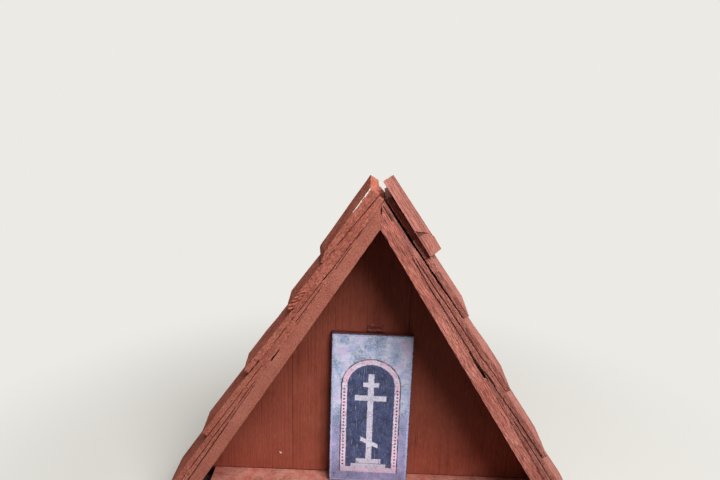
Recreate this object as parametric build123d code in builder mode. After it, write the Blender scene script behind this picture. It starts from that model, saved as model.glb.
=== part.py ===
"""Small A-frame wayside shrine in painted wood, roofed with split shakes.

Millimetres. +Z is up, +X is to the right seen from the front and the front
faces -Y. The origin is on the ground, under the middle of the shrine.
"""
import math
import os

from build123d import *

# Frame: two slope boards that meet in a plumb mitre over the niche
roof_pitch = 57.8
slope_board_thickness = 22.5
slope_board_depth = 105.0
niche_height = 537.0
mitre_gap = 0.3

# Floor and the bevelled cleats under it, which stand on the ground
floor_thickness = 20.0
cleat_height = 25.0
cleat_width = 66.0
floor_end_gap_left = 26.0
floor_end_gap_right = 4.0
joint_gap = 0.3

# Back: three upright boards nailed over the rear edges
back_thickness = 16.0
back_ground_gap = 4.0
back_edge_inset = 2.0
back_seam_gap = 0.3
left_seam_x = -155.0
right_seam_x = 64.0

# Icon panel, leaning on the back
icon_width = 153.5
icon_height = 312.0
icon_thickness = 12.0
icon_lean = 3.0
icon_turn = 1.1
icon_offset_x = -3.5
icon_edge_round = 1.2

# Hanger on the back, above the panel
hanger_width = 31.0
hanger_height = 13.0
hanger_plate = 1.6
hanger_lip_reach = 5.0
hanger_lip_thickness = 2.0
hanger_bar_width = 20.0
hanger_bar_height = 3.0
hanger_offset_x = 1.5
hanger_above_icon = 2.3

# Shakes: each one is (upper end and butt, as distances down the slope from the boards'
# outer apex; its thickness at both; how much it bellies between them; how far its front
# edge stands proud of the slope board; how far its rear edge passes it; how much lower
# its butt ends at the rear)
shake_bed_gap = 0.3
shake_bend = 0.1
ridge_end_left = -7.0
ridge_end_right = 0.0
left_starter = (331.0, 674.0, 1.6, 10.8, 0.0, 0.0, 0.0, 0.0)
left_courses = [
    (150.0, 668.0, 1.0, 10.5, 1.5, 1.0, -3.0, 6.0),
    (40.0, 523.0, 1.0, 11.8, 1.8, 0.0, -12.0, 22.0),
    (ridge_end_left, 373.0, 2.2, 9.5, 3.5, 2.0, -12.0, 20.0),
    (ridge_end_left, 233.0, 7.8, 9.2, 0.8, 0.0, -6.0, 10.0),
]
right_starter = (352.0, 680.0, 2.7, 12.2, 0.0, 0.0, 0.0, 0.0)
right_courses = [
    (190.0, 680.0, 1.0, 11.4, 0.0, 0.0, 2.0, 0.0),
    (100.0, 543.0, 1.5, 8.5, 4.0, 2.0, 3.0, 20.0),
    (ridge_end_right, 394.0, 5.0, 9.0, 3.0, 0.0, 1.0, 13.0),
    (ridge_end_right, 236.0, 10.7, 10.6, 0.0, 1.0, 2.0, 10.0),
]

# The top right shake is lifted at the ridge, and its front is split away there, by
# (distance down the slope, depth) points
top_shake_lift_right = 1.8
top_shake_split_right = [(80.0, 14.0), (80.0, 9.0), (118.0, 7.0), (141.0, 0.0)]

# Left cap shake, with its butt bevelled
left_cap = (-11.0, 134.0, 18.0, 7.0, 0.0, 1.0, 20.0, 17.0)
left_cap_bevel_run = 22.0
left_cap_bevel_depth = 4.5
left_cap_bevel_rear_depth = 0.6

# Right cap shake: thin, tilted up to the rear and out over the ridge, its front feathered
cap_upper_end = -30.0
cap_upper_end_drop = 17.0
cap_butt = 64.0
cap_butt_drop = 52.0
cap_upper_thickness = 2.5
cap_butt_thickness = 4.8
cap_seat_height = 22.5
cap_seat_rise = 0.03
cap_tilt_rise = 0.1
cap_feather_height = 0.9
cap_feather_run = 18.0
caps_proud = 2.0
caps_rear_overhang = 0.0

# The thicker shake below it, split away along the cap's butt and under the cap's front
under_cap_upper_end = 8.0
under_cap_butt = 114.0
under_cap_butt_drop = 32.0
under_cap_split_height = 31.0
under_cap_butt_height = 31.0
under_cap_split_gap = 1.6
under_cap_hollow_depth = 16.0
under_cap_feather_height = 24.5
under_cap_feather_rise = 0.3

# Heights and places worked out from the sizes above
pitch = math.radians(roof_pitch)
floor_top = cleat_height + joint_gap + floor_thickness
inner_apex = floor_top + niche_height
outer_apex = inner_apex + slope_board_thickness / math.cos(pitch)
frame_depth = slope_board_depth + back_thickness
front_y = -frame_depth / 2
back_face_y = front_y + slope_board_depth
rear_y = back_face_y + back_thickness
slope_length = outer_apex / math.sin(pitch)


def inner_half_width(height):
    """Half the niche's width at a height over the ground."""
    return (inner_apex - height) / math.tan(pitch)


def outer_half_width(height):
    """Half the width over the slope boards at a height over the ground."""
    return (outer_apex - height) / math.tan(pitch)


def save(part, name):
    """Label a finished piece and write it under its own name."""
    part.label = name
    export_step(part, f"parts/{name}.step")


os.makedirs("parts", exist_ok=True)


# Slope boards
def slope_board(side):
    """One roof board with a plumb mitre at the top and a level foot."""
    with BuildPart() as board:
        with BuildSketch(Plane.XZ.offset(-back_face_y)):
            with BuildLine():
                Polyline(
                    (side * mitre_gap / 2, outer_apex),
                    (side * outer_half_width(0), 0),
                    (side * inner_half_width(0), 0),
                    (side * mitre_gap / 2, inner_apex),
                    close=True,
                )
            make_face()
        extrude(amount=slope_board_depth)
    return board.part


save(slope_board(-1), "left_slope_board")
save(slope_board(1), "right_slope_board")

# Floor board and cleats
floor_left = -inner_half_width(floor_top) + floor_end_gap_left
floor_right = inner_half_width(floor_top) - floor_end_gap_right
with BuildPart() as floor_board:
    with BuildSketch(Plane.XY.offset(cleat_height + joint_gap)):
        with Locations(((floor_left + floor_right) / 2, front_y + slope_board_depth / 2)):
            Rectangle(floor_right - floor_left, slope_board_depth - 2 * joint_gap)
    extrude(amount=floor_thickness)
save(floor_board.part, "floor_board")


def floor_cleat(side):
    """A bevelled strip on a slope board's inner face, under the floor."""
    top_x = inner_half_width(cleat_height) - joint_gap
    foot_x = inner_half_width(0) - joint_gap
    with BuildPart() as cleat:
        with BuildSketch(Plane.XZ.offset(-back_face_y + joint_gap)):
            with BuildLine():
                Polyline(
                    (side * top_x, cleat_height),
                    (side * foot_x, 0),
                    (side * (foot_x - cleat_width), 0),
                    (side * (foot_x - cleat_width), cleat_height),
                    close=True,
                )
            make_face()
        extrude(amount=slope_board_depth - 2 * joint_gap)
    return cleat.part


save(floor_cleat(-1), "left_floor_cleat")
save(floor_cleat(1), "right_floor_cleat")


# Back boards
def back_board(left_x, right_x):
    """An upright board between two seams, cut to the slopes at its top."""
    foot = back_ground_gap
    reach = outer_half_width(foot) - back_edge_inset
    peak = foot + reach * math.tan(pitch)
    with BuildPart() as board:
        with BuildSketch(Plane.XZ.offset(-rear_y)):
            with BuildLine():
                Polyline((-reach, foot), (reach, foot), (0, peak), close=True)
            make_face()
            with Locations(((left_x + right_x) / 2, (foot + peak) / 2)):
                Rectangle(right_x - left_x, peak - foot, mode=Mode.INTERSECT)
        extrude(amount=back_thickness - joint_gap)
    return board.part


board_reach = outer_half_width(0)
save(back_board(-board_reach, left_seam_x - back_seam_gap / 2), "left_back_board")
save(back_board(left_seam_x + back_seam_gap / 2, right_seam_x - back_seam_gap / 2), "middle_back_board")
save(back_board(right_seam_x + back_seam_gap / 2, board_reach), "right_back_board")

# Icon panel, standing on the floor and leaning on the back
icon_lean_rad = math.radians(icon_lean)
icon_turn_rad = math.radians(icon_turn)
icon_stand_off = icon_height * math.sin(icon_lean_rad) + icon_width / 2 * math.sin(icon_turn_rad)
icon_plane = Plane(
    origin=(icon_offset_x, back_face_y - joint_gap - icon_stand_off, floor_top + joint_gap),
    x_dir=(math.cos(icon_turn_rad), -math.sin(icon_turn_rad), 0),
    z_dir=(
        -math.sin(icon_turn_rad) * math.cos(icon_lean_rad),
        -math.cos(icon_turn_rad) * math.cos(icon_lean_rad),
        math.sin(icon_lean_rad),
    ),
)
icon_forward = Axis(icon_plane.origin, icon_plane.z_dir)
with BuildPart() as icon_panel:
    with BuildSketch(icon_plane):
        with Locations((0, icon_height / 2)):
            Rectangle(icon_width, icon_height)
    extrude(amount=icon_thickness)
    fillet(icon_panel.faces().sort_by(icon_forward)[-1].edges(), radius=icon_edge_round)
save(icon_panel.part, "icon_panel")

# Hanger: a plate with a bent lip, and a narrower bar above it
icon_top = floor_top + icon_height * math.cos(icon_lean_rad)
hanger_foot = icon_top + hanger_above_icon
with BuildPart() as icon_hanger:
    with BuildSketch(Plane.XZ.offset(-back_face_y + joint_gap)):
        with Locations((hanger_offset_x, hanger_foot + hanger_height / 2)):
            Rectangle(hanger_width, hanger_height)
    extrude(amount=hanger_plate)
    with BuildSketch(Plane.XZ.offset(-back_face_y + joint_gap)):
        with Locations((hanger_offset_x, hanger_foot + hanger_lip_thickness / 2)):
            Rectangle(hanger_width, hanger_lip_thickness)
    extrude(amount=hanger_lip_reach)
    with BuildSketch(Plane.XZ.offset(-back_face_y + joint_gap)):
        with Locations((hanger_offset_x, hanger_foot + hanger_height - hanger_bar_height)):
            Rectangle(hanger_bar_width, hanger_bar_height)
    extrude(amount=2 * hanger_plate)
save(icon_hanger.part, "icon_hanger")


# Shake roof
class Slope:
    """One roof slope: what the next shake is laid on, as (distance down, height) points."""

    def __init__(self, side):
        self.side = side
        self.bed = [(-slope_length, 0.0), (2 * slope_length, 0.0)]

    def height_at(self, distance):
        """Height of the bed over the slope board, the higher side of a step."""
        heights = []
        for (s0, n0), (s1, n1) in zip(self.bed, self.bed[1:]):
            if s0 <= distance <= s1:
                share = (distance - s0) / (s1 - s0) if s1 > s0 else 0
                heights.append(n0 + (n1 - n0) * share)
        return max(heights)

    def underside(self, upper, lower, lift):
        """The line of a shake on the bed between its two ends."""
        inside = [point for point in self.bed if upper < point[0] < lower]
        quarters = [upper + (lower - upper) * share for share in (0.25, 0.5, 0.75)]
        inside += [(s, self.height_at(s)) for s in quarters]
        inside.sort(key=lambda point: point[0])
        covered = [(upper, self.height_at(upper) + lift), *inside, (lower, self.height_at(lower))]
        line = stretched(covered) if lift else bedded(covered)
        return [(s, n + shake_bed_gap) for s, n in line]

    def lay(self, upper, lower, upper_thickness, lower_thickness, belly=0.0, lift=0.0):
        """Profile of one tapered shake on the bed, which becomes the new bed."""
        top = []
        under = self.underside(upper, lower, lift)
        for s, n in under:
            share = (s - upper) / (lower - upper)
            thickness = upper_thickness + (lower_thickness - upper_thickness) * share
            top.append((s, n + thickness + 4 * belly * share * (1 - share)))
        above = [point for point in self.bed if point[0] <= upper]
        below = [point for point in self.bed if point[0] >= lower]
        upper_step = (upper, self.height_at(upper))
        lower_step = (lower, self.height_at(lower))
        self.bed = [*above, upper_step, *top, lower_step, *below]
        return [*under, *reversed(top)]


def stretched(covered):
    """The line of a lifted shake, straight between the points that it touches."""
    line = []
    for point in covered:
        while len(line) > 1 and not bends_down(line[-2], line[-1], point):
            line.pop()
        line.append(point)
    return line


def bends_down(first, second, third):
    """True where a line over three points turns down at the middle one."""
    rise_before = (second[1] - first[1]) * (third[0] - second[0])
    rise_after = (third[1] - second[1]) * (second[0] - first[0])
    return rise_before > rise_after


def bedded(covered):
    """The line of a nailed shake, which follows the bed and ramps up to each step in it."""
    line = [covered[-1]]
    height = covered[-1][1]
    for upper, lower in reversed(list(zip(covered, covered[1:]))):
        length = lower[0] - upper[0]
        ramp = height - shake_bend * length
        if ramp > upper[1]:
            height = ramp
            continue
        hollow = height - lower[1]
        if hollow > 0:
            run = length * hollow / (hollow + upper[1] - ramp)
            line.append((lower[0] - run, height - shake_bend * run))
        line.append(upper)
        height = upper[1]
    if line[-1][0] > covered[0][0]:
        line.append((covered[0][0], height))
    return list(reversed(line))


def slope_point(side, distance, height, y):
    """The point at a distance down a slope and a height over its board."""
    return Vector(
        side * (distance * math.cos(pitch) + height * math.sin(pitch)),
        y,
        outer_apex - distance * math.sin(pitch) + height * math.cos(pitch),
    )


def slope_plane(side, y):
    """A plane across the roof: local X runs down the slope, local Y out of it."""
    down = slope_point(side, 1, 0, y) - slope_point(side, 0, 0, y)
    return Plane(origin=(0, y, outer_apex), x_dir=down, z_dir=(0, -side, 0))


def plane_through(side, first, second, third):
    """A plane through three points of a slope, each given as (distance, height, y)."""
    origin = slope_point(side, *first)
    along = slope_point(side, *second) - origin
    across = slope_point(side, *third) - origin
    return Plane(origin=origin, x_dir=along, z_dir=along.cross(across) * side)


def drawn_shake(side, profile, butt, proud, rear_overhang, drop):
    """A profile drawn out from front to rear, its butt cut lower at the rear."""
    front = front_y - proud
    rear = back_face_y + rear_overhang
    with BuildPart() as piece:
        with BuildSketch(slope_plane(side, (front + rear) / 2)):
            with BuildLine():
                Polyline(*profile, close=True)
            make_face()
        extrude(amount=(rear - front) / 2, both=True)
        if drop:
            cut = plane_through(side, (butt, 0, front), (butt + drop, 0, rear), (butt, 1, front))
            split(bisect_by=cut, keep=Keep.BOTTOM)
    return piece.part


def lay_shake(slope, sizes, lift=0.0):
    """Lay one shake on what its slope has so far."""
    upper, butt, upper_thickness, butt_thickness, belly, proud, rear_overhang, drop = sizes
    profile = slope.lay(upper, butt + drop, upper_thickness, butt_thickness, belly, lift)
    return drawn_shake(slope.side, profile, butt, proud, rear_overhang, drop)


def split_back(piece, side, splits):
    """A shake whose front is split away by (distance down the slope, depth) points."""
    down = slope_point(side, 1, 0, 0) - slope_point(side, 0, 0, 0)
    out = slope_point(side, 0, 1, 0) - slope_point(side, 0, 0, 0)
    clear = slope_board_thickness
    with BuildPart() as shake:
        add(piece)
        with BuildSketch(Plane(origin=slope_point(side, 0, 0, front_y), x_dir=down, z_dir=out)):
            with BuildLine():
                Polyline(
                    (-clear, -clear),
                    (-clear, splits[0][1]),
                    *splits,
                    (splits[-1][0], -clear),
                    close=True,
                )
            make_face()
        extrude(amount=2 * clear, both=True, mode=Mode.SUBTRACT)
    return shake.part


def lay_slope(side, name, starter, courses):
    """Starter and courses of one slope but the top one, from the eave up."""
    slope = Slope(side)
    save(lay_shake(slope, starter), f"{name}_starter_shake")
    for number, course in enumerate(courses[:-1], start=1):
        save(lay_shake(slope, course), f"{name}_shake_{number}")
    return slope


left_slope = lay_slope(-1, "left", left_starter, left_courses)
save(lay_shake(left_slope, left_courses[-1]), "left_shake_4")
right_slope = lay_slope(1, "right", right_starter, right_courses)
right_top_shake = lay_shake(right_slope, right_courses[-1], top_shake_lift_right)
save(split_back(right_top_shake, 1, top_shake_split_right), "right_shake_4")

# Left cap shake
_, butt, _, _, _, proud, rear_overhang, drop = left_cap
cap_body = lay_shake(left_slope, left_cap)
bevel_top = left_slope.height_at(butt)
bevel = plane_through(
    -1,
    (butt, bevel_top - left_cap_bevel_depth, front_y - proud),
    (butt + drop, bevel_top - left_cap_bevel_rear_depth, back_face_y + rear_overhang),
    (butt - left_cap_bevel_run, bevel_top, front_y - proud),
)
with BuildPart() as left_cap_shake:
    add(cap_body)
    split(bisect_by=bevel, keep=Keep.BOTTOM)
save(left_cap_shake.part, "left_cap_shake")

# Right cap shake, on its tilted seat
caps_front = front_y - caps_proud
caps_rear = back_face_y + caps_rear_overhang
caps_width = caps_rear - caps_front
caps_tilt = caps_width * cap_tilt_rise
cap_length = cap_butt - cap_upper_end
cap_upper_seat = cap_seat_height - cap_length * cap_seat_rise
cap_seat = plane_through(
    1,
    (cap_butt, cap_seat_height, caps_front),
    (cap_butt + cap_length, cap_seat_height + cap_length * cap_seat_rise, caps_front),
    (cap_butt, cap_seat_height + caps_tilt, caps_rear),
)
cap_top = plane_through(
    1,
    (cap_upper_end, cap_upper_seat + cap_upper_thickness, caps_front),
    (cap_butt, cap_seat_height + cap_butt_thickness, caps_front),
    (cap_upper_end, cap_upper_seat + cap_upper_thickness + caps_tilt, caps_rear),
)
cap_feather = plane_through(
    1,
    (cap_upper_end, cap_upper_seat + cap_feather_height, caps_front),
    (cap_butt, cap_seat_height + cap_feather_height, caps_front),
    (
        cap_upper_end,
        cap_upper_seat + cap_upper_thickness + cap_feather_run * cap_tilt_rise,
        caps_front + cap_feather_run,
    ),
)
with BuildPart() as right_cap_shake:
    with BuildSketch(cap_seat):
        with BuildLine():
            Polyline(
                (-cap_length, 0),
                (0, 0),
                (cap_butt_drop, caps_width),
                (cap_upper_end_drop - cap_length, caps_width),
                close=True,
            )
        make_face()
    extrude(amount=2 * cap_butt_thickness)
    split(bisect_by=cap_top, keep=Keep.BOTTOM)
    split(bisect_by=cap_feather, keep=Keep.BOTTOM)
save(right_cap_shake.part, "right_cap_shake")

# The shake below it
under_cap_end = under_cap_butt + under_cap_butt_drop
under_cap_blank = 2 * under_cap_split_height
under_cap_profile = right_slope.lay(under_cap_upper_end, under_cap_end, under_cap_blank, under_cap_blank)
under_cap_body = drawn_shake(
    1, under_cap_profile, under_cap_butt, caps_proud, caps_rear_overhang, under_cap_butt_drop
)
under_cap_top = plane_through(
    1,
    (cap_butt, under_cap_split_height, caps_front),
    (under_cap_butt, under_cap_butt_height, caps_front),
    (cap_butt, under_cap_split_height + caps_tilt, caps_rear),
)
under_cap_feather = plane_through(
    1,
    (cap_butt, under_cap_feather_height, caps_front),
    (under_cap_butt, under_cap_feather_height, caps_front),
    (cap_butt, under_cap_feather_height + caps_width * under_cap_feather_rise, caps_rear),
)
with BuildPart() as right_under_cap_shake:
    add(under_cap_body)
    split(bisect_by=under_cap_top, keep=Keep.BOTTOM)
    split(bisect_by=under_cap_feather, keep=Keep.BOTTOM)
    with BuildSketch(cap_seat.offset(-shake_bed_gap)):
        with BuildLine():
            Polyline(
                (-2 * cap_length, -caps_width),
                (under_cap_split_gap - cap_butt_drop, -caps_width),
                (under_cap_split_gap + 2 * cap_butt_drop, 2 * caps_width),
                (-2 * cap_length, 2 * caps_width),
                close=True,
            )
        make_face()
    extrude(amount=under_cap_blank, mode=Mode.SUBTRACT)
    with BuildSketch(slope_plane(1, caps_front)):
        with Locations((cap_butt / 2, 0)):
            Rectangle(cap_butt, 2 * under_cap_blank)
    extrude(amount=-under_cap_hollow_depth, mode=Mode.SUBTRACT)
save(right_under_cap_shake.part, "right_under_cap_shake")
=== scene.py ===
"""A-frame wayside shrine in painted rough-sawn wood, dressed for its picture.

The sections follow the order in which the shrine is put together: slope boards,
floor, back, the shake roof from the eaves to the ridge, then panel and hanger.
Lengths are in metres where nothing else is said.
"""
import math

import bmesh
import bpy
from mathutils import Matrix, Vector, noise


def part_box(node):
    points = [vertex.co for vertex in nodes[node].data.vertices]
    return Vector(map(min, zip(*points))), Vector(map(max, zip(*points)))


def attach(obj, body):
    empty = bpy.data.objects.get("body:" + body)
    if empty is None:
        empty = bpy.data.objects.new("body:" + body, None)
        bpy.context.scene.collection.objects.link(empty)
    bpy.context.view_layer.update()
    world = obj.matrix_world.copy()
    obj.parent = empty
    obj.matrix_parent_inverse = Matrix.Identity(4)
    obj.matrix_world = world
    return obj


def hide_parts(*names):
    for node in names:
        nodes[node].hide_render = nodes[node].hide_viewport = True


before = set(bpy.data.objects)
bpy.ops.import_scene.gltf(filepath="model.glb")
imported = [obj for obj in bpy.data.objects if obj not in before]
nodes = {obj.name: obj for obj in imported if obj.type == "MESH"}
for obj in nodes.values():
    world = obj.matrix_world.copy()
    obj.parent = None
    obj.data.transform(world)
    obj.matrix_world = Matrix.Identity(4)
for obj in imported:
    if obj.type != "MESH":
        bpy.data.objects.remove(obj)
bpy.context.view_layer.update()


# Slope boards
# Two rough-sawn softwood boards that lean together in a plumb mitre at the top
# and stand on level-cut feet. They are brushed with one thick coat of barn red,
# which fills the saw marks and wears through along the arrises.
roof_pitch = math.radians(57.8)
roof_apex = Vector((0, 0, 0.6245))
board_cells = (0.004, 0.003, 0.0014)
board_arris = 0.0008
board_front = -0.0605
front_strip = 0.002
saw_depth, tear_depth, wander_depth, nick_depth = 0.0003, 0.0003, 0.0002, 0.0005
mitre_strip = 0.0008
mitre_crack = (0.606, 0.6185)
mitre_crack_depth = 0.0011
mitre_paint = 0.00012
paint_bridge = 0.0006
joint_opening = 0.0004
joint_shading = 500
slot_gape = 0.0008

# Marks on the points, which the paint reads: split wood, an arris, a plain face,
# a joint painted brown as its shadow and a slot painted black as its shade,
# with the range over which a colour comes up
raw_mark, raw_range = 2.5, (1.3, 1.7)
arris_mark, plain_mark = 1.0, 0.0
faint_joint_mark, joint_mark, joint_range = -0.87, -1.0, (-0.8, -0.97)
slot_mark, slot_range = -2.0, (-1.1, -1.6)


def srgb(red, green, blue):
    """A colour read as 0-255 values, as the shader wants it."""
    colour = []
    for share in (red / 255, green / 255, blue / 255):
        colour.append(((share + 0.055) / 1.055) ** 2.4 if share > 0.04045 else share / 12.92)
    return (*colour, 1)


def slope_axes(side):
    """Down the slope, across it and out of it, for the left (-1) or the right (1) slope."""
    down = Vector((side * math.cos(roof_pitch), 0, -math.sin(roof_pitch)))
    out = Vector((side * math.sin(roof_pitch), 0, math.cos(roof_pitch)))
    return down, Vector((0, 1, 0)), out


def down_slope(side, spot):
    """How far down the slope a spot lies from the roof's apex, in millimetres."""
    return 1000 * (spot - roof_apex).dot(slope_axes(side)[0])


def linked(name, data):
    """A new object with its data, put into the scene."""
    thing = bpy.data.objects.new(name, data)
    bpy.context.scene.collection.objects.link(thing)
    return thing


def fine_skin(node_name, axes, cells, arris):
    """The skin of a solid with eased arrises, cut into small cells along its own three directions."""
    same_spot, flat, sharp = 1e-6, math.radians(0.4), math.radians(25)
    skin = bmesh.new()
    skin.from_mesh(nodes[node_name].data)
    eased = skin.faces.layers.int.new("eased")
    bmesh.ops.remove_doubles(skin, verts=skin.verts, dist=same_spot)
    bmesh.ops.dissolve_limit(skin, angle_limit=flat, verts=skin.verts, edges=skin.edges)
    corners = [edge for edge in skin.edges if edge.is_manifold and edge.calc_face_angle() > sharp]
    rounded = bmesh.ops.bevel(skin, geom=corners, offset=arris, segments=2, profile=0.5,
                              affect="EDGES", clamp_overlap=True)
    for face in rounded["faces"]:
        face[eased] = 1
    for axis, cell in zip(axes, cells):
        reach = [vertex.co.dot(axis) for vertex in skin.verts]
        low, high = min(reach), max(reach)
        count = int((high - low) / cell)
        for step in range(1, count):
            cut = low + (high - low) * step / count
            bmesh.ops.bisect_plane(skin, geom=skin.verts[:] + skin.edges[:] + skin.faces[:],
                                   dist=same_spot, plane_co=axis * cut, plane_no=axis)
    return skin


def roughened(skin, name, axes, shaped_at, seed):
    """Moves each point by what shaped_at(spot, place, turned, at_arris) gives, as steps along the three
    directions, and writes its mark and its place on the wood, which is each piece's own, for the paint."""
    grain = skin.verts.layers.float_vector.new("grain")
    wear_and_shade = skin.verts.layers.float.new("wear_and_shade")
    eased = skin.faces.layers.int["eased"]
    skin.normal_update()
    shift = Vector((0.73, 0.41, 0.29)) * seed
    for vertex in skin.verts:
        place = Vector([vertex.co.dot(axis) for axis in axes]) + shift
        turned = [vertex.normal.dot(axis) for axis in axes]
        at_arris = any(face[eased] for face in vertex.link_faces)
        steps, mark = shaped_at(vertex.co, place, turned, at_arris)
        vertex[grain] = place
        vertex[wear_and_shade] = mark
        vertex.co += sum((axis * step for axis, step in zip(axes, steps)), Vector())
    for face in skin.faces:
        face.smooth = True
    mesh = bpy.data.meshes.new(name)
    skin.to_mesh(mesh)
    skin.free()
    return linked(name, mesh)


def ripple(along, across, out):
    """Soft noise from -1 to 1 at a place given in waves along, across and out of the wood."""
    return noise.noise(Vector((along, across, out)))


def sunk(turned, depth, at_arris):
    """A point sunk straight into the wood, with its mark."""
    return [-depth * part for part in turned], arris_mark if at_arris else plain_mark


def sawn(spot, place, turned, at_arris):
    """How the band saw and the weather have cut a sawn board at one place."""
    along, across, out = place
    torn = ripple(along * 90, across * 200, out * 200)
    wander = ripple(along * 9, across * 20, out * 20)
    depth = saw_depth + tear_depth * torn + wander_depth * wander
    if at_arris:
        depth += nick_depth * max(0, ripple(along * 110, across * 110, out * 110)) ** 1.2
    return sunk(turned, max(0, depth), at_arris)


# What is nailed over the boards, from the eave up: each shake's upper end and butt,
# and the stretches where the joint under its front edge gapes: from, to and how far.
# All in millimetres, the first four down the slope. Elsewhere paint has shut the joint.
shakes_laid = {
    -1: [
        ("left_starter_shake", 331, 674, [(385, 470, 0.1), (476, 674, 0.2)]),
        ("left_shake_1", 150, 668, [(238, 252, 0.15), (304, 331, 1.0), (374, 436, 0.15),
                                    (440, 605, 0.2), (615, 668, 0.2)]),
        ("left_shake_2", 40, 523, [(56, 72, 0.15), (84, 132, 0.2), (168, 250, 0.1),
                                   (345, 400, 0.15), (404, 523, 0.2)]),
        ("left_shake_3", -7, 373, [(-12, 6, 0.2), (48, 142, 0.2), (142, 159, 0.9), (162, 232, 0.15),
                                   (236, 250, 0.3), (262, 300, 0.15), (340, 373, 1.2)]),
        ("left_shake_4", -7, 233, [(226, 240, 0.9)]),
        ("left_cap_shake", -11, 134, [(-20, 97, 0.2), (104, 118, 0.15)]),
    ],
    1: [
        ("right_starter_shake", 352, 680, [(364, 376, 0.1), (394, 458, 0.1), (462, 592, 0.08)]),
        ("right_shake_1", 190, 680, [(293, 352, 1.0), (352, 362, 0.1), (450, 600, 0.22),
                                     (612, 680, 0.1)]),
        ("right_shake_2", 100, 543, [(346, 374, 0.15), (400, 405, 0.3), (414, 543, 0.25)]),
        ("right_shake_3", 0, 394, [(4, 36, 0.3), (104, 130, 0.15), (130, 278, 0.35),
                                   (278, 394, 0.3)]),
        ("right_shake_4", 0, 236, [(-5, 128, 0.3), (128, 246, 1.0)]),
        ("right_under_cap_shake", 8, 114, [(-5, 130, 0.3)]),
        ("right_cap_shake", -30, 64, [(-35, 70, 0.3)]),
    ],
}


def joint_gape(side, name, spot, above):
    """How far the joint over or under a board or shake gapes at a spot: 0 where paint has shut it,
    None in the open. A name that isn't in the rows is the slope board's, under them all."""
    distance = down_slope(side, spot)
    rows = shakes_laid[side]
    number = next((number for number, row in enumerate(rows) if row[0] == name), -1)
    row = rows[number]
    if above:
        row = next((row for row in rows[number + 1:] if row[1] <= distance <= row[2]), None)
    if not row:
        return None
    return next((gape / 1000 for upper, lower, gape in row[3] if upper <= distance <= lower), 0)


def joint_shade(gape):
    """The mark of an open joint, whose shade is painted: black where it is a slot, else brown, the fainter
    the narrower it is.
    """
    return slot_mark if gape > slot_gape else max(joint_mark, faint_joint_mark - joint_shading * gape)


def leaning(side, name):
    """How a slope board is cut: its mitre is painted shut but for a crack near its top, and so is
    much of the joint under the shakes."""
    def shaped(spot, place, turned, at_arris):
        if abs(spot.x) < mitre_strip:
            cracked = mitre_crack[0] < spot.z < mitre_crack[1]
            return sunk(turned, mitre_crack_depth if cracked else -mitre_paint, at_arris)
        if at_arris and turned[2] > 0.2 and spot.y < board_front + front_strip:
            gape = joint_gape(side, name, spot, True)
            if gape == 0:
                return (0, board_front - spot.y, paint_bridge), plain_mark
            if gape:
                return (0, 0, -min(gape, joint_opening)), joint_shade(gape)
        return sawn(spot, place, turned, at_arris)
    return shaped


def put(tree, kind, **settings):
    """A new node with its settings."""
    node = tree.nodes.new(kind)
    for setting, value in settings.items():
        setattr(node, setting, value)
    return node


def feed(tree, socket, value):
    """Links a socket to another one, or sets its value."""
    if isinstance(value, bpy.types.NodeSocket):
        tree.links.new(value, socket)
    else:
        socket.default_value = value


def calc(tree, operation, first, *others, clamped=False):
    """A step of arithmetic on one value, or on it and each of the others in turn."""
    for other in others or (0.0,):
        node = put(tree, "ShaderNodeMath", operation=operation, use_clamp=clamped)
        feed(tree, node.inputs[0], first)
        feed(tree, node.inputs[1], other)
        first = node.outputs[0]
    return first


def scaled(tree, vector, factors):
    """A vector times three factors."""
    node = put(tree, "ShaderNodeVectorMath", operation="MULTIPLY")
    feed(tree, node.inputs[0], vector)
    feed(tree, node.inputs[1], factors)
    return node.outputs[0]


def length(tree, vector):
    """How long a vector is."""
    node = put(tree, "ShaderNodeVectorMath", operation="LENGTH")
    feed(tree, node.inputs[0], vector)
    return node.outputs["Value"]


def joined(tree, *values):
    """A vector made of three values."""
    node = put(tree, "ShaderNodeCombineXYZ")
    for socket, value in zip(node.inputs, values):
        feed(tree, socket, value)
    return node.outputs[0]


def parts(tree, vector):
    """The three values of a vector."""
    node = put(tree, "ShaderNodeSeparateXYZ")
    feed(tree, node.inputs[0], vector)
    return node.outputs


def cloud(tree, vector, scale, detail=4.0, harshness=0.55):
    """Fractal noise, 0 to 1 with most of it near 0.5."""
    node = put(tree, "ShaderNodeTexNoise")
    feed(tree, node.inputs["Vector"], vector)
    feed(tree, node.inputs["Scale"], scale)
    node.inputs["Detail"].default_value = detail
    node.inputs["Roughness"].default_value = harshness
    return node.outputs[0]


def swing(tree, value, width):
    """A value from 0 to 1 turned into one that swings about 0."""
    return calc(tree, "MULTIPLY", calc(tree, "SUBTRACT", value, 0.5), width)


def between(tree, value, low, high, top=1.0):
    """0 at low and before it, top at high and after it, and a smooth step between them."""
    node = put(tree, "ShaderNodeMapRange", interpolation_type="SMOOTHSTEP")
    for socket, setting in zip(node.inputs, (value, low, high, 0.0, top)):
        feed(tree, socket, setting)
    return node.outputs[0]


def blend(tree, factor, first, second, method="MIX"):
    """Two colours mixed."""
    node = put(tree, "ShaderNodeMix", data_type="RGBA", blend_type=method)
    feed(tree, node.inputs[0], factor)
    feed(tree, node.inputs[6], first)
    feed(tree, node.inputs[7], second)
    return node.outputs[2]


def bumped(tree, shader, height, relief, strength=1.0):
    """Gives a shader the fine relief that is too small to be cut into the mesh."""
    bump = put(tree, "ShaderNodeBump")
    bump.inputs["Strength"].default_value = strength
    bump.inputs["Distance"].default_value = relief
    feed(tree, bump.inputs["Height"], height)
    feed(tree, shader.inputs["Normal"], bump.outputs[0])


def new_finish(name):
    """A new material with its tree and its shader."""
    finish = bpy.data.materials.new(name)
    finish.use_nodes = True
    return finish, finish.node_tree, finish.node_tree.nodes["Principled BSDF"]


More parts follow.
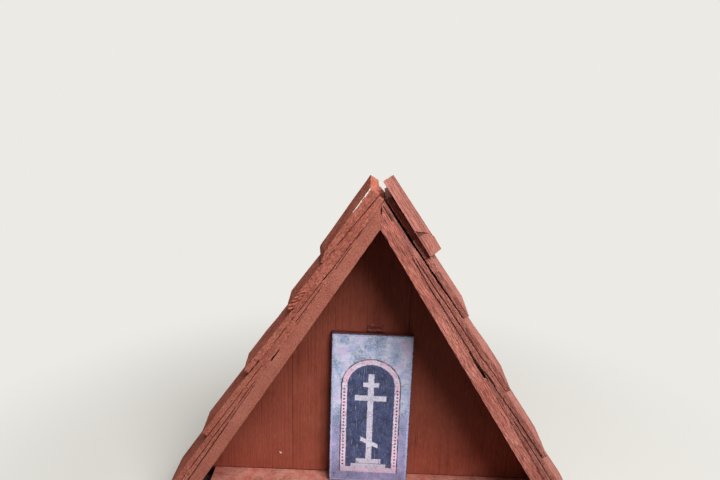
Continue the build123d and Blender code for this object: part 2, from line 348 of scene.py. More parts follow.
def on_points(tree):
    """What is written on each point: its place on the wood and its mark."""
    place = put(tree, "ShaderNodeAttribute", attribute_name="grain").outputs["Vector"]
    mark = put(tree, "ShaderNodeAttribute", attribute_name="wear_and_shade").outputs["Fac"]
    return place, mark


def effect(name, inputs, outputs):
    """An empty effect group: its tree, its input sockets and its output sockets."""
    tree = bpy.data.node_groups.new(name, "ShaderNodeTree")
    for label, (kind, value) in inputs.items():
        socket = tree.interface.new_socket(label, in_out="INPUT", socket_type="NodeSocket" + kind)
        if value is not None:
            socket.default_value = value
    for label in outputs:
        tree.interface.new_socket(label, in_out="OUTPUT", socket_type="NodeSocketFloat")
    return tree, put(tree, "NodeGroupInput").outputs, put(tree, "NodeGroupOutput").inputs


def place_effect(tree, group, **values):
    """Puts an effect group into a material with its own values, and gives its outputs."""
    node = put(tree, "ShaderNodeGroup", node_tree=group)
    for label, value in values.items():
        feed(tree, node.inputs[label.replace("_", " ")], value)
    return node.outputs


# Grain: long fibres and the darker streaks between them
grain_lines, given, result = effect(
    "Grain lines", {"Place": ("Vector", None), "Stretch": ("Float", 12.0), "Fineness": ("Float", 300.0),
                    "Sparse": ("Float", 0.56)}, ["Height", "Streaks"])
lengthwise = calc(grain_lines, "DIVIDE", given["Fineness"], given["Stretch"])
fibre_place = scaled(grain_lines, given["Place"],
                     joined(grain_lines, lengthwise, given["Fineness"], given["Fineness"]))
feed(grain_lines, result["Height"], cloud(grain_lines, fibre_place, 1.0, 6.0, 0.62))
dark_fibres = cloud(grain_lines, scaled(grain_lines, fibre_place, (0.5, 0.6, 0.6)), 1.0, 3.0)
full_dark = calc(grain_lines, "ADD", given["Sparse"], 0.16)
feed(grain_lines, result["Streaks"], between(grain_lines, dark_fibres, given["Sparse"], full_dark))

# Saw marks: shallow ridges across the board, a few millimetres apart, fading in and out
saw_marks, given, result = effect(
    "Saw marks", {"Place": ("Vector", None), "Spacing": ("Float", 0.004)}, ["Height"])
strokes = calc(saw_marks, "DIVIDE", parts(saw_marks, given["Place"])[0], given["Spacing"])
sway = calc(saw_marks, "MULTIPLY", cloud(saw_marks, given["Place"], 45.0, 2.0), 9.0)
turns = calc(saw_marks, "MULTIPLY", calc(saw_marks, "ADD", strokes, sway), 2 * math.pi)
patch = between(saw_marks, cloud(saw_marks, given["Place"], 22.0, 2.0), 0.42, 0.62)
ridge = calc(saw_marks, "MULTIPLY", calc(saw_marks, "SINE", turns), patch, 0.5)
feed(saw_marks, result["Height"], calc(saw_marks, "ADD", ridge, 0.5))

# Worn arrises: where the paint has rubbed off along an edge
worn_arrises, given, result = effect(
    "Worn arrises", {"Place": ("Vector", None), "Arris": ("Float", 0.0), "Amount": ("Float", 0.0)}, ["Mask"])
rub = swing(worn_arrises, cloud(worn_arrises, given["Place"], 160.0), 3.2)
near = calc(worn_arrises, "ADD", calc(worn_arrises, "SUBTRACT", given["Arris"], 1.0), given["Amount"])
feed(worn_arrises, result["Mask"], between(worn_arrises, calc(worn_arrises, "ADD", rub, near), 0.1, 0.35))

# Brushed coat: patches where the paint lies thicker or thinner, and its fine speckle
brushed_coat, given, result = effect(
    "Brushed coat", {"Place": ("Vector", None), "Patch": ("Float", 0.06), "Speck": ("Float", 0.002),
                     "Draw": ("Float", 1.0)}, ["Thick", "Thin", "Speckle"])
per_patch, per_speck, per_draw = (calc(brushed_coat, "DIVIDE", 1.0, given[label])
                                  for label in ("Patch", "Speck", "Draw"))
patches = cloud(brushed_coat, given["Place"], per_patch, 3.0)
feed(brushed_coat, result["Thick"], between(brushed_coat, patches, 0.5, 0.68))
gaps = calc(brushed_coat, "SUBTRACT", 1.0, patches)
feed(brushed_coat, result["Thin"], between(brushed_coat, gaps, 0.5, 0.68))
drawn_place = scaled(brushed_coat, given["Place"], joined(brushed_coat, per_draw, 1.0, 1.0))
feed(brushed_coat, result["Speckle"], cloud(brushed_coat, drawn_place, per_speck, 2.0, 0.6))

# Settled dust, and on the right shakes painted sheen as well: a pale film on what faces up
dust_and_sheen_film, given, result = effect(
    "Settled dust", {"Place": ("Vector", None), "Normal": ("Vector", None),
                     "Amount": ("Float", 0.3)}, ["Mask"])
facing_up = between(dust_and_sheen_film, parts(dust_and_sheen_film, given["Normal"])[2], 0.1, 0.8)
drifted = between(dust_and_sheen_film, cloud(dust_and_sheen_film, given["Place"], 70.0, 5.0, 0.65), 0.3, 0.7)
feed(dust_and_sheen_film, result["Mask"], calc(dust_and_sheen_film, "MULTIPLY", facing_up, drifted, given["Amount"]))

# Raw wood, and the painted shade of joints and slots
raw_wood, joint_shadow_brown, slot_shadow_black = srgb(250, 244, 232), srgb(74, 30, 23), srgb(14, 6, 5)


def painted_wood(name, paint, thick, thin, crack, bare, dust_and_sheen, stretch=12.0, fineness=300.0, streaks=0.5,
                 sparse=0.56, saw=0.3, spacing=0.004, wear=0.0, dust_and_sheen_amount=0.3, roughness=0.65, sheen=0.2,
                 relief=0.0009, speckle=0.3, speck=0.003, draw=1.0, damage=None):
    """Paint over wood: the brushed coat, the grain and saw marks that print through, worn arrises and
    dust, which on the right shakes is partly painted sheen, then raw wood, and brown joints and black
    slots painted as shade where the points are marked so. Damage is a function for one piece's own
    mark: it takes the tree, the place and the colour, and gives a colour."""
    material, tree, shader = new_finish(name)
    place, mark = on_points(tree)
    facing = put(tree, "ShaderNodeNewGeometry").outputs["Normal"]
    grain = place_effect(tree, grain_lines, Place=place, Stretch=stretch, Fineness=fineness, Sparse=sparse)
    ridges = place_effect(tree, saw_marks, Place=place, Spacing=spacing)
    rubbed = place_effect(tree, worn_arrises, Place=place, Arris=mark, Amount=wear)
    coat = place_effect(tree, brushed_coat, Place=place, Speck=speck, Draw=draw)
    film = place_effect(tree, dust_and_sheen_film, Place=place, Normal=facing, Amount=dust_and_sheen_amount)

    colour = blend(tree, calc(tree, "MULTIPLY", coat["Thick"], 0.55), paint, thick)
    colour = blend(tree, calc(tree, "MULTIPLY", coat["Thin"], 0.6), colour, thin)
    open_grain = calc(tree, "MULTIPLY", calc(tree, "ADD", coat["Thin"], 0.6), streaks)
    colour = blend(tree, calc(tree, "MULTIPLY", grain["Streaks"], open_grain, clamped=True), colour, crack)
    shade = calc(tree, "ADD", swing(tree, coat["Speckle"], speckle * 4), 1.0)
    colour = blend(tree, 1.0, colour, joined(tree, shade, shade, shade), "MULTIPLY")
    colour = blend(tree, rubbed["Mask"], colour, bare)
    colour = blend(tree, film["Mask"], colour, dust_and_sheen)
    colour = blend(tree, between(tree, mark, *raw_range), colour, raw_wood)
    if damage:
        colour = damage(tree, place, colour)
    # Painted shade: brown in joints and black in slots, where the points are marked so
    colour = blend(tree, between(tree, mark, *joint_range, 0.85), colour, joint_shadow_brown)
    colour = blend(tree, between(tree, mark, *slot_range), colour, slot_shadow_black)
    feed(tree, shader.inputs["Base Color"], colour)
    shader.inputs["Specular IOR Level"].default_value = sheen
    feed(tree, shader.inputs["Roughness"],
         calc(tree, "ADD", calc(tree, "MULTIPLY", grain["Height"], 0.25), roughness - 0.1))

    height = calc(tree, "ADD", grain["Height"], calc(tree, "MULTIPLY", ridges["Height"], saw),
                  calc(tree, "MULTIPLY", coat["Speckle"], speckle * 2))
    height = calc(tree, "SUBTRACT", height, calc(tree, "MULTIPLY", grain["Streaks"], streaks * 0.8))
    bumped(tree, shader, height, relief)
    return material


slope_paints = {
    -1: painted_wood(
        "left board paint", paint=srgb(172, 102, 86), thick=srgb(184, 115, 99), thin=srgb(158, 89, 75),
        crack=srgb(104, 50, 41), bare=srgb(202, 142, 126), dust_and_sheen=srgb(196, 128, 114), fineness=260.0,
        streaks=0.25, saw=0.1, spacing=0.0045, wear=-0.4, dust_and_sheen_amount=0.1, relief=0.001, speckle=0.42,
        speck=0.0019, draw=1.8),
    1: painted_wood(
        "right board paint", paint=srgb(184, 110, 96), thick=srgb(200, 130, 116), thin=srgb(162, 92, 79),
        crack=srgb(104, 50, 42), bare=srgb(212, 156, 142), dust_and_sheen=srgb(196, 128, 114), fineness=520.0,
        streaks=0.5, sparse=0.53, saw=0.1, wear=-0.25, dust_and_sheen_amount=0.1, relief=0.0013, speckle=0.6,
        speck=0.0015, draw=8.0)}
for seed, (node_name, side) in enumerate({"left_slope_board": -1, "right_slope_board": 1}.items(), 1):
    axes = slope_axes(side)
    board = roughened(fine_skin(node_name, axes, board_cells, board_arris), node_name + "_wood",
                      axes, leaning(side, node_name), seed)
    board.data.materials.append(slope_paints[side])
    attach(board, "root")
    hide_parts(node_name)


# Floor board and its cleats
# A sawn board laid between the slope boards, square cut, a little short at each
# end, on two bevelled cleats. It has the barn red too, thinner on top, where
# weather and dust have dulled it; the cleats out of sight are bare wood, coloured
# near black as painted shade in the gaps at the floor's ends.
floor_cells = (0.006, 0.005, 0.0035)
level_axes = (Vector((1, 0, 0)), Vector((0, 1, 0)), Vector((0, 0, 1)))
floor_paint = painted_wood(
    "floor paint", paint=srgb(158, 84, 70), thick=srgb(172, 98, 84), thin=srgb(132, 68, 56),
    crack=srgb(84, 42, 34), bare=srgb(172, 134, 112), dust_and_sheen=srgb(196, 160, 146), streaks=0.55,
    saw=0.6, spacing=0.005, wear=-0.3, dust_and_sheen_amount=0.4)
# Painted shade: the cleats are near black so the gaps at the floor's ends look dark
cleat_shade_wood = painted_wood(
    "cleat wood darkened as painted shade", paint=srgb(46, 34, 27), thick=srgb(58, 44, 35), thin=srgb(36, 26, 21),
    crack=srgb(20, 14, 11), bare=srgb(70, 54, 42), dust_and_sheen=srgb(76, 62, 52), saw=0.6, wear=-0.3, dust_and_sheen_amount=0.3)
for seed, node_name in enumerate(("floor_board", "left_floor_cleat", "right_floor_cleat"), 11):
    board = roughened(fine_skin(node_name, level_axes, floor_cells, board_arris), node_name + "_wood",
                      level_axes, sawn, seed)
    board.data.materials.append(floor_paint if node_name == "floor_board" else cleat_shade_wood)
    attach(board, "root")
    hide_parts(node_name)


# Back boards
# Three upright boards nailed behind the slope boards, with a thin seam in sight
# at the left. The paint is brushed out thin here, and the upright grain shows.
back_cells = (0.016, 0.006, 0.0012)
upright_axes = (Vector((0, 0, 1)), Vector((0, 1, 0)), Vector((1, 0, 0)))
grain_depth, groove_depth = 0.0002, 0.0003
shaded_foot_top = 0.044
seam_reach, seam_top = 0.2, 0.61
seam_shade_mark = -0.93
seam_paint = 0.0001
chip_middle = Vector((-0.1795, 0.0445, 0.083))
chip_slant = math.radians(-40)
chip_squeeze = (0.8, 1.0, 1.9)
chip_reach = (0.0052, 0.0044)


def brushed(spot, place, turned, at_arris):
    """How far a back board's soft grain has sunk at one place, with fine upright grooves. Its foot
    behind the floor is painted black as shade, and its seams are narrowed by paint and painted brown as
    shadow."""
    along, across, out = place
    depth = grain_depth + grain_depth * ripple(along * 5, across * 60, out * 75) \
        + groove_depth * max(0, ripple(along * 2.2, 4.7, out * 230))
    # Painted shade: the front of the foot behind the floor is black
    if spot.z < shaded_foot_top and turned[1] < -0.5:
        return sunk(turned, depth, at_arris)[0], slot_mark
    # Painted shade: the seams are brown as their shadow
    if at_arris and abs(turned[2]) > 0.3 and abs(spot.x) < seam_reach:
        return sunk(turned, 0, at_arris)[0], seam_shade_mark
    if abs(turned[2]) > 0.7 and spot.z < seam_top:
        depth = -seam_paint
    return sunk(turned, depth, at_arris)


def chipped(tree, place, colour):
    """One small slanted place near the foot of the left board where the paint is off."""
    slanted = put(tree, "ShaderNodeVectorRotate", rotation_type="Y_AXIS")
    feed(tree, slanted.inputs["Vector"], put(tree, "ShaderNodeTexCoord").outputs["Object"])
    feed(tree, slanted.inputs["Center"], chip_middle)
    feed(tree, slanted.inputs["Angle"], chip_slant)
    offset = put(tree, "ShaderNodeVectorMath", operation="SUBTRACT")
    feed(tree, offset.inputs[0], slanted.outputs[0])
    feed(tree, offset.inputs[1], chip_middle)
    away = length(tree, scaled(tree, offset.outputs[0], chip_squeeze))
    ragged = calc(tree, "MULTIPLY", cloud(tree, place, 500.0), 0.005)
    return blend(tree, between(tree, calc(tree, "ADD", away, ragged), *chip_reach), colour,
                 srgb(246, 222, 208))


back_paint = painted_wood(
    "back paint", paint=srgb(148, 75, 58), thick=srgb(158, 84, 67), thin=srgb(134, 64, 49),
    crack=srgb(92, 41, 31), bare=srgb(160, 112, 92), dust_and_sheen=srgb(170, 110, 92), stretch=70.0,
    fineness=560.0, streaks=0.36, sparse=0.5, saw=0.0, wear=-0.6, dust_and_sheen_amount=0.05, relief=0.0006,
    speckle=0.16, draw=4.0, damage=chipped)
for seed, node_name in enumerate(("left_back_board", "middle_back_board", "right_back_board"), 21):
    board = roughened(fine_skin(node_name, upright_axes, back_cells, board_arris), node_name + "_wood",
                      upright_axes, brushed, seed)
    board.data.materials.append(back_paint)
    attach(board, "root")
    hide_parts(node_name)


# Shakes: starters, courses and caps
# Split cedar shakes, each one as wide as the roof is deep, nailed from the eave
# up so that each covers the nails of the last. They are riven, not sawn: ridges
# run down their faces, their butts are rough, and the paint bridges some joints.
shake_cells = (0.006, 0.0018, 0.0011)
cap_cells = (0.0025, 0.0008, 0.0009)
torn_cells = (0.0013, 0.0030, 0.0011)
shake_arris = 0.00035
edge_strip, face_strip = 0.004, 0.006
rive_depth, ridge_depth, swell_depth, cleft_depth = 0.0002, 0.0004, 0.0002, 0.0016
edge_depth, edge_sway, edge_fray = 0.0004, 0.0005, 0.0003
butt_depth, butt_sway, butt_fray = 0.0003, 0.0004, 0.0003
shut_groove, faint_groove, shaded_groove = 0.05, 0.35, 0.04
groove_shade_mark, groove_span, groove_shading = -0.8, 0.17, 1.1
torn_shake, torn_depth = "left_shake_4", 0.0018
comb_along, comb_out, comb_wander = 0.8, 1100, 4
under_cap_depth, under_cap_shadow_mark = 0.001, -1.05
sliver_lip, sliver_rise, sliver_step = 0.0270, 0.00002, 0.0012
# The rest in millimetres down the slope or in from the front
torn_from, torn_to, torn_fade = 186, 233, 12
sliver_from, sliver_to, sliver_steps = -9, 35, ((6, 14), (29, 35))
butt_from, butt_slant, wedge_lap, wedge_height, wedge_reach = 64, 0.495, 1, 11, 75


def in_sliver(distance, height):
    """Whether a spot lies in the long sliver of raw wood along the left cap's upper front arris, whose
    lower edge steps up twice. The height is counted out of the slope from the middle of the ground."""
    lower_edge = roof_apex.dot(slope_axes(-1)[2]) + sliver_lip + sliver_rise * distance
    if any(first < distance < last for first, last in sliver_steps):
        lower_edge += sliver_step
    return sliver_from < distance < sliver_to and height > lower_edge


def in_shadow_wedge(distance, depth):
    """Whether a spot lies in the wedge of painted shadow under the right cap's slanted butt, which closes to
    the rear.
    """
    butt_line = butt_from + butt_slant * depth
    return butt_line - wedge_lap < distance < butt_line + wedge_height * (1 - depth / wedge_reach)


def riven(side, name):
    """How the riving has left a shake: ridges on its faces, a ragged butt, wavy edges, and joints
    at the front that the paint has bridged in some stretches and left open in others, with painted shade in
    them."""
    front, rear = (corner.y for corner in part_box(name))
    cap = "cap" in name

    def shaped(spot, place, turned, at_arris):
        along, across, out = place
        distance = down_slope(side, spot)
        near_front = max(0, 1 - (spot.y - front) / edge_strip)
        near_rear = max(0, 1 - (rear - spot.y) / edge_strip)
        inward = min(1, max(0, (spot.y - front) / face_strip))
        ridges = ripple(along * 3, across * 85, out * 20) + 0.5 * ripple(along * 5, across * 280, out * 30)
        swell = ripple(along * 16, across * 45, 3.7)
        if cap:
            grooves = max(0, ripple(along * 4, across * 430, 2.2) - shut_groove)
        else:
            grooves = faint_groove * max(0, ripple(along * 3, across * 210, 6.4))
        face = inward * (rive_depth + ridge_depth * ridges + swell_depth * swell + cleft_depth * grooves)
        edge = edge_depth + edge_sway * ripple(along * 14, 1.3, out * 60) \
            + edge_fray * ripple(along * 110, 2.1, out * 260)
        butt = butt_depth + butt_sway * ripple(5.1, across * 60, out * 30) \
            + butt_fray * ripple(7.7, across * 260, out * 260)
        steps = [-turned[0] * butt, max(0, edge) * (near_front - near_rear), -turned[2] * face]
        if name == torn_shake and torn_from < distance < torn_to and near_front > 0.5:
            comb = math.sin(comb_along * distance - comb_out * out
                            + comb_wander * ripple(along * 55, 0.4, out * 120))
            steps[1] += torn_depth * max(0, comb) * min(1, (distance - torn_from) / torn_fade)
        if name == "left_cap_shake" and turned[2] > -0.1 and near_front > 0.5 \
                and in_sliver(distance, spot.dot(slope_axes(side)[2])):
            return steps, raw_mark
        if at_arris and near_front > 0.3 and abs(turned[2]) > abs(turned[0]):
            way = 1 if turned[2] > 0 else -1
            gape = joint_gape(side, name, spot, way > 0)
            if gape == 0:
                steps[1] += front - spot.y
                steps[2] += way * paint_bridge
                return steps, plain_mark
            if gape:
                opened = min(gape, joint_opening)
                steps[1] += opened
                steps[2] -= way * opened
                return steps, joint_shade(gape)
        # Painted shadow: a dark wedge on the under-cap below the cap's butt, sunk a millimetre
        if name == "right_under_cap_shake" and turned[2] > 0.5 \
                and in_shadow_wedge(distance, 1000 * (spot.y - front)):
            steps[2] -= under_cap_depth
            return steps, under_cap_shadow_mark
        if at_arris:
            return steps, arris_mark
        # Painted shade in the deeper grooves on the tops of the right caps
        if side > 0 and cap and turned[2] > 0.7 and grooves > shaded_groove:
            return steps, groove_shade_mark - min(groove_span, groove_shading * (grooves - shaded_groove))
        return steps, plain_mark
    return shaped


shake_paints = {
    -1: painted_wood(
        "left shake paint", paint=srgb(172, 100, 84), thick=srgb(188, 118, 102), thin=srgb(152, 84, 70),
        crack=srgb(96, 45, 36), bare=srgb(206, 146, 130), dust_and_sheen=srgb(176, 104, 92), stretch=14.0,
        fineness=380.0, streaks=0.4, saw=0.1, wear=-0.35, dust_and_sheen_amount=0.0, sheen=0.0, relief=0.0011,
        speckle=0.5, speck=0.0021, draw=2.2),
    # On the right shakes the pale film on what faces up is dust and painted sheen, the light on their tops
    1: painted_wood(
        "right shake paint", paint=srgb(166, 102, 90), thick=srgb(182, 120, 108), thin=srgb(144, 82, 71),
        crack=srgb(94, 45, 38), bare=srgb(206, 156, 142), dust_and_sheen=srgb(188, 136, 126), stretch=40.0,
        fineness=820.0, streaks=0.42, sparse=0.52, saw=0.0, wear=-0.25, dust_and_sheen_amount=0.35, sheen=0.12,
        relief=0.0013, speckle=0.6, speck=0.0017, draw=7.0)}
laid_names = [(side, row[0]) for side, rows in shakes_laid.items() for row in rows]
for seed, (side, node_name) in enumerate(laid_names, 31):
    axes = slope_axes(side)
    cells = cap_cells if "cap" in node_name else torn_cells if node_name == torn_shake else shake_cells
    shake = roughened(fine_skin(node_name, axes, cells, shake_arris), node_name + "_wood",
                      axes, riven(side, node_name), seed)
    shake.data.materials.append(shake_paints[side])
    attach(shake, "root")
    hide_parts(node_name)


# Panel
# A thin softwood board that leans on the back, its face covered with a varnished
# picture and its edges brushed with the barn red, coloured far darker there as painted
# shade. The picture is a plain barred cross under an arch, in faded inks, rubbed pale
# along the edges of the board.
panel_lean = math.radians(3)
panel_turn = math.radians(1.1)
panel_cells = (0.003, 0.003, 0.003)
panel_arris = 0.0004
face_depth, face_sway, knock_depth = 0.00012, 0.0001, 0.0006
panel_low, panel_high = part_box("icon_panel")
# Sizes of the picture, in millimetres from the foot of the panel's centre line
panel_across, panel_up = 153.5, 312.0
arch_foot, arch_spring, arch_radius, arch_line = 22.5, 206, 57, (54.4, 55.2)
field_foot, field_radius = 33.5, 45
bead_line, bead_spacing, bead_size = 50.5, 7.0, (2.1, 1.5)
frame_wide, rim_wide = 5, 1.8
ground_turn, foot_shadow = (120, 170), (70, 10)
# Its inks
ground_white, ground_blue, ground_low = srgb(232, 232, 255), srgb(168, 188, 226), srgb(168, 164, 208)
stain_blue, stain_pink = srgb(120, 156, 184), srgb(236, 206, 242)
band_pink, band_white, band_line, bead_ink = \
    srgb(252, 208, 236), srgb(250, 236, 255), srgb(44, 42, 56), srgb(74, 62, 82)
field_dark, field_blue = srgb(36, 44, 76), srgb(76, 88, 132)
cross_white, cross_grey = srgb(244, 242, 255), srgb(208, 200, 226)
frame_blue, frame_white = srgb(176, 182, 222), srgb(206, 208, 246)
shadow_blue, scratch_grey = srgb(54, 64, 98), srgb(196, 194, 206)
crack_ink, rim_ink = srgb(46, 42, 52), srgb(36, 32, 42)
fleck_pale, fleck_dark, rubbed_pale = srgb(222, 212, 222), srgb(26, 24, 32), srgb(190, 170, 160)
# The panel's edges, far darker than the barn red as painted shade
edge_shade_red, edge_shade_brown = srgb(96, 40, 35), srgb(64, 26, 23)


def knocked(spot, place, turned, at_arris):
    """How far the face and the arrises of the panel are knocked in at one place."""
    across, along, out = place
    depth = face_depth + face_sway * ripple(across * 60, along * 60, out * 60)
    if at_arris:
        depth += knock_depth * max(0, ripple(across * 90, along * 90, out * 90))
    return sunk(turned, max(0, depth), at_arris)


# Plain block: a rectangle about the centre line, which the cross, its steps and the frame are made of
plain_block, given, result = effect(
    "Plain block", {"Across": ("Float", 0.0), "Up": ("Float", 0.0), "Height": ("Float", 0.0),
                    "Half width": ("Float", 1.0), "Half height": ("Float", 1.0),
                    "Slant": ("Float", 0.0)}, ["Mask"])
slanted = calc(plain_block, "MULTIPLY", given["Across"], given["Slant"])
level = calc(plain_block, "SUBTRACT", given["Up"], calc(plain_block, "ADD", given["Height"], slanted))
inside = calc(plain_block, "MINIMUM", *(
    calc(plain_block, "SUBTRACT", given[half], calc(plain_block, "ABSOLUTE", measure))
    for half, measure in (("Half width", given["Across"]), ("Half height", level))))
feed(plain_block, result["Mask"], between(plain_block, inside, -0.4, 0.4))

panel_finish, tree, shader = new_finish("varnished picture")
place, mark = on_points(tree)
measures = parts(tree, scaled(tree, place, (1000, 1000, 1000)))
smudge = swing(tree, cloud(tree, place, 220.0, 5.0), 3.0)
across = calc(tree, "ADD", measures[0], smudge)
up = calc(tree, "ADD", measures[1], smudge)
mottle = cloud(tree, place, 55.0, 6.0, 0.7)
fleck = cloud(tree, place, 420.0, 4.0, 0.75)
stain = cloud(tree, place, 26.0, 5.0, 0.7)
crazing = put(tree, "ShaderNodeTexVoronoi", feature="DISTANCE_TO_EDGE")
feed(tree, crazing.inputs["Vector"], place)
crazing.inputs["Scale"].default_value = 230.0
crazed = calc(tree, "MULTIPLY", between(tree, crazing.outputs["Distance"], 0.09, 0.02),
              between(tree, stain, 0.44, 0.56, 0.6))
scratched = between(tree, cloud(tree, scaled(tree, place, (700, 60, 300)), 1.0, 2.0), 0.62, 0.7, 0.45)


def under(measure, edge):
    """1 under an edge in the picture and 0 over it, with a soft step one millimetre wide."""
    return between(tree, measure, edge + 0.5, edge - 0.5)


def over(measure, edge):
    """1 over an edge in the picture and 0 under it, in the same way."""
    return between(tree, measure, edge - 0.5, edge + 0.5)


def block(height, half_width, half_height, slant=0.0):
    """One rectangle of the picture, with the height of its middle."""
    return place_effect(tree, plain_block, Across=across, Up=up, Height=height,
                        Half_width=half_width, Half_height=half_height, Slant=slant)["Mask"]


def apart(first, second):
    """How far a place lies from where both measures are 0."""
    return calc(tree, "SQRT", calc(tree, "ADD", calc(tree, "MULTIPLY", first, first),
                                   calc(tree, "MULTIPLY", second, second)))


ground = blend(tree, between(tree, mottle, 0.35, 0.65), ground_white, ground_blue)
ground = blend(tree, between(tree, up, *ground_turn), ground_low, ground)
ground = blend(tree, between(tree, stain, 0.52, 0.66, 0.7), ground, stain_blue)
ground = blend(tree, between(tree, stain, 0.46, 0.36, 0.6), ground, stain_pink)
radius = apart(across, calc(tree, "MAXIMUM", calc(tree, "SUBTRACT", up, arch_spring), 0))
arch = calc(tree, "MULTIPLY", under(radius, arch_radius), over(up, arch_foot))
field = calc(tree, "MULTIPLY", under(radius, field_radius), over(up, field_foot))
picture = blend(tree, arch, ground, blend(tree, between(tree, mottle, 0.38, 0.62), band_pink, band_white))
drawn_line = calc(tree, "MULTIPLY", arch, between(tree, radius, *arch_line), between(tree, mottle, 0.3, 0.5))
picture = blend(tree, drawn_line, picture, band_line)
beside = calc(tree, "SUBTRACT", calc(tree, "ABSOLUTE", across), bead_line)
along_band = calc(tree, "SUBTRACT", calc(tree, "PINGPONG", up, bead_spacing), bead_spacing / 2)
in_band = calc(tree, "MULTIPLY", over(up, field_foot), under(up, arch_spring - 0.5))
beads = calc(tree, "MULTIPLY", between(tree, apart(beside, along_band), *bead_size), in_band)
picture = blend(tree, beads, picture, bead_ink)
picture = blend(tree, field, picture, blend(tree, between(tree, mottle, 0.3, 0.7), field_dark, field_blue))
steps = calc(tree, "MAXIMUM", block(36, 34, 5), block(47, 24, 5))
cross = calc(tree, "MAXIMUM", block(140, 5.5, 92), block(182, 30, 5.5), block(210, 15, 4.5),
             block(88, 17, 4.5, -0.45), steps)
picture = blend(tree, cross, picture, blend(tree, between(tree, fleck, 0.35, 0.65), cross_white, cross_grey))
frame_band, rim = (
    calc(tree, "SUBTRACT", 1.0, block(panel_up / 2, panel_across / 2 - wide, panel_up / 2 - wide))
    for wide in (frame_wide, rim_wide))
picture = blend(tree, frame_band, picture, blend(tree, mottle, frame_blue, frame_white))
picture = blend(tree, between(tree, up, *foot_shadow, 0.45), picture, shadow_blue)
picture = blend(tree, scratched, picture, scratch_grey)
picture = blend(tree, crazed, picture, crack_ink)
picture = blend(tree, rim, picture, rim_ink)
picture = blend(tree, between(tree, fleck, 0.56, 0.75, 0.55), picture, fleck_pale)
picture = blend(tree, between(tree, fleck, 0.44, 0.27, 0.5), picture, fleck_dark)
rubbed = place_effect(tree, worn_arrises, Place=place, Arris=mark, Amount=-0.1)["Mask"]
picture = blend(tree, rubbed, picture, rubbed_pale)
facing = parts(tree, put(tree, "ShaderNodeNewGeometry").outputs["Normal"])
on_face = between(tree, facing[1], -0.6, -0.85)
# Painted shade: the panel's edges and top are coloured far darker than the barn red
shaded_sides = blend(tree, between(tree, mottle, 0.4, 0.65), edge_shade_red, edge_shade_brown)
feed(tree, shader.inputs["Base Color"], blend(tree, on_face, shaded_sides, picture))
feed(tree, shader.inputs["Roughness"], calc(tree, "ADD", calc(tree, "MULTIPLY", fleck, 0.3), 0.38))
bumped(tree, shader, fleck, 0.0004, 0.6)

turning = Matrix.Rotation(-panel_turn, 3, "Z")
panel_axes = [turning @ axis for axis in (
    Vector((1, 0, 0)), Vector((0, math.sin(panel_lean), math.cos(panel_lean))),
    Vector((0, math.cos(panel_lean), -math.sin(panel_lean))))]
panel_skin = fine_skin("icon_panel", panel_axes, panel_cells, panel_arris)
foot = Vector(((panel_low.x + panel_high.x) / 2, panel_low.y, panel_low.z))
bmesh.ops.translate(panel_skin, verts=panel_skin.verts, vec=-foot)
panel = roughened(panel_skin, "icon_panel_block", panel_axes, knocked, 0)
panel.data.transform(Matrix.Translation(foot))
panel.data.materials.append(panel_finish)
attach(panel, "root")
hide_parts("icon_panel")


# Hanger
# A small folded steel hanger screwed to the back above the panel and painted
# over with it. The paint on it is uneven and coloured darker than the back's as painted
# shade, and paler along the arrises, partly rubbed and partly a painted highlight.
hanger_cells = (0.0015, 0.0015, 0.0015)
hanger_arris = 0.0003
coat_depth, coat_sway, coat_waves = 0.00006, 0.00005, 400
# Painted shade on the body and a painted highlight along the arrises
hanger_shade_and_highlight_paint = painted_wood(
    "hanger paint with painted shade and highlight", paint=srgb(116, 56, 44), thick=srgb(128, 66, 53), thin=srgb(96, 44, 34),
    crack=srgb(70, 32, 25), bare=srgb(196, 140, 122), dust_and_sheen=srgb(160, 100, 86), stretch=1.0, fineness=500.0,
    streaks=0.3, saw=0.0, roughness=0.5, relief=0.0003, speckle=0.2)


def coated(spot, place, turned, at_arris):
    """The uneven coat of paint on the hanger."""
    return sunk(turned, coat_depth + coat_sway * noise.noise(place * coat_waves), at_arris)


hanger = roughened(fine_skin("icon_hanger", level_axes, hanger_cells, hanger_arris), "icon_hanger_metal",
                   level_axes, coated, 61)
hanger.data.materials.append(hanger_shade_and_highlight_paint)
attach(hanger, "root")
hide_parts("icon_hanger")


# Studio
# A floor that looks pale but throws little light back. It holds the shadow near
# the shrine and runs out into an even pale surround. One large soft lamp stands
# right, in front and above, in a dim daylight that fades towards the horizon.
surround = srgb(236, 234, 229)
floor_radius = 6
shadow_fade = (0.45, 1.1)
lamp_aim = Vector((0, 0, 0.3))


def seen(tree):
    """1 for what the camera sees, straight, in gloss or through glass."""
    path = put(tree, "ShaderNodeLightPath").outputs
    return calc(tree, "MAXIMUM", path["Is Camera Ray"], path["Is Glossy Ray"], path["Is Transmission Ray"])


def mixed(tree, factor, first, second):
    """Two shaders mixed."""
    node = put(tree, "ShaderNodeMixShader")
    for socket, value in zip(node.inputs, (factor, first, second)):
        feed(tree, socket, value)
    return node.outputs[0]


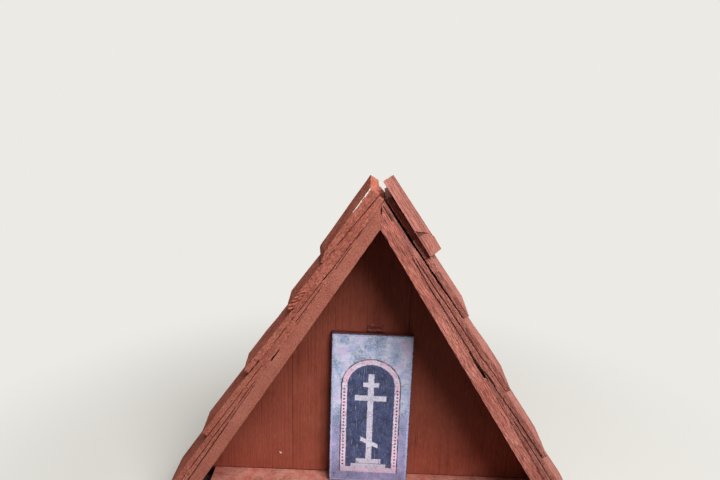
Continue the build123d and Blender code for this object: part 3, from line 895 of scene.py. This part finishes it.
floor_skin = bmesh.new()
bmesh.ops.create_circle(floor_skin, cap_ends=True, segments=96, radius=floor_radius)
floor_mesh = bpy.data.meshes.new("studio_floor")
floor_skin.to_mesh(floor_mesh)
floor_skin.free()
floor = linked("studio_floor", floor_mesh)
floor_finish, tree, shader = new_finish("studio floor")
feed(tree, shader.inputs["Base Color"], blend(tree, seen(tree), srgb(30, 28, 25), srgb(188, 186, 181)))
shader.inputs["Roughness"].default_value = 0.9
away = length(tree, put(tree, "ShaderNodeTexCoord").outputs["Object"])
even = put(tree, "ShaderNodeEmission")
even.inputs["Color"].default_value = surround
out_of_shadow = calc(tree, "MULTIPLY", between(tree, away, *shadow_fade), seen(tree))
feed(tree, tree.nodes["Material Output"].inputs["Surface"],
     mixed(tree, out_of_shadow, shader.outputs[0], even.outputs[0]))
floor_mesh.materials.append(floor_finish)

world = bpy.data.worlds.new("studio daylight")
bpy.context.scene.world = world
world.use_nodes = True
tree = world.node_tree
daylight = tree.nodes["Background"]
daylight.inputs["Color"].default_value = (1, 0.98, 0.96, 1)
height = parts(tree, put(tree, "ShaderNodeTexCoord").outputs["Generated"])[2]
feed(tree, daylight.inputs["Strength"], between(tree, height, 0.4, 1.0))
backdrop = put(tree, "ShaderNodeBackground")
backdrop.inputs["Color"].default_value = surround
feed(tree, tree.nodes["World Output"].inputs["Surface"],
     mixed(tree, seen(tree), daylight.outputs[0], backdrop.outputs[0]))

lamp_data = bpy.data.lights.new("softbox", "AREA")
lamp_data.shape = "DISK"
lamp_data.size = 2.5
lamp_data.energy = 216
lamp = linked("softbox", lamp_data)
lamp.location = (1.33, -1.89, 3.17)
lamp.rotation_euler = (Vector(lamp.location) - lamp_aim).to_track_quat("Z", "Y").to_euler()


# Camera
# It stands a little left of the middle, above the ridge, and looks down at the
# niche, as the photograph was taken.
focal_pixels = 555
picture_width = 720
sensor_width = 36
pitch_down = math.radians(16.24)
roll = math.radians(1.78)
yaw = math.radians(-0.71)
eye = Vector((-0.0212, -0.9056, 0.8110))
forward = Vector((math.sin(yaw) * math.cos(pitch_down), math.cos(yaw) * math.cos(pitch_down),
                  -math.sin(pitch_down)))
level_right = Vector((math.cos(yaw), -math.sin(yaw), 0))
level_up = level_right.cross(forward)
right = math.cos(roll) * level_right + math.sin(roll) * level_up
up_way = math.cos(roll) * level_up - math.sin(roll) * level_right
camera_data = bpy.data.cameras.new("camera")
camera_data.sensor_width = sensor_width
camera_data.lens = sensor_width * focal_pixels / picture_width
camera = linked("camera", camera_data)
camera.matrix_world = Matrix.Translation(eye) @ Matrix((right, up_way, -forward)).transposed().to_4x4()
bpy.context.scene.camera = camera
bpy.context.scene.view_settings.view_transform = "Standard"
